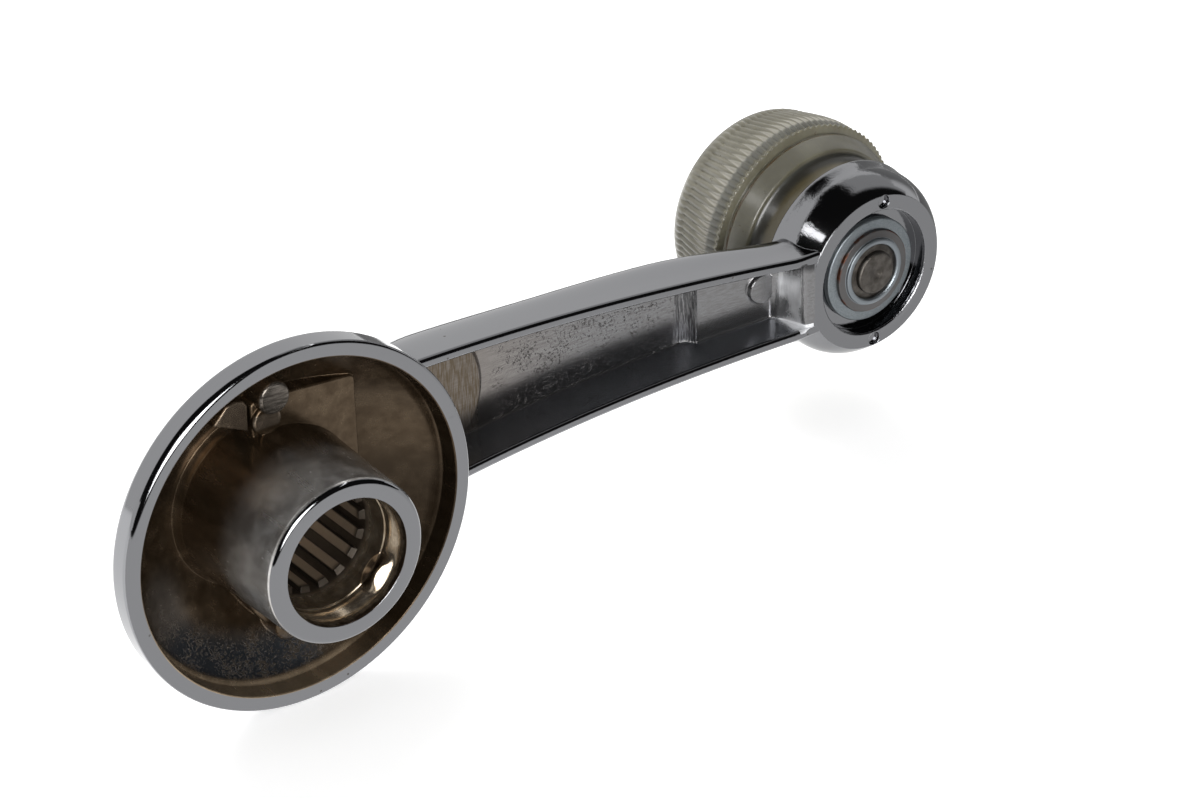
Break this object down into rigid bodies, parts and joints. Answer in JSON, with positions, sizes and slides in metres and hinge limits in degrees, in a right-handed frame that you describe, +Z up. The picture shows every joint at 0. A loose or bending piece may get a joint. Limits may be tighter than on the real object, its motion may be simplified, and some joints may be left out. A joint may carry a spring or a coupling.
{
  "type": "window crank handle",
  "caption": "Die-cast window crank with a splined socket in its round hub, an open channelled arm and a ribbed knob that spins on a riveted stem.",
  "frame": {"origin": "centre of the splined socket's mouth, on the end face of the boss", "axes": "+X along the arm from the socket to the knob, +Y away from the door along the socket's axis, so -Y points out of the mouth, +Z up in the pictured pose"},
  "size_m": [0.1417, 0.0486, 0.0506],
  "materials": {
    "chrome_casting": "polished chrome over a zinc casting, warm nickel inside the hub",
    "stem_steel": "dark riveted steel with a little rust",
    "spring_steel": "plain spring steel",
    "washer_zinc": "bluish zinc plate, speckled",
    "retainer_steel": "grey plated steel with a brown edge",
    "knob_plastic": "smoky olive-grey plastic, ribbed"
  },
  "bodies": {
    "crank": {"crank_casting": "chrome_casting", "flat_washer": "washer_zinc", "spring_washer": "spring_steel"},
    "knob": {"knob_stem": "stem_steel", "push_on_retainer": "retainer_steel", "knob_base": "knob_plastic", "knob_cap": "knob_plastic"}
  },
  "joints": [
    {"name": "knob_spin", "type": "hinge", "parent": "crank", "child": "knob", "pos_m": [0.1, 0.021, 0], "axis": [0, 1, 0], "continuous": true}
  ]
}
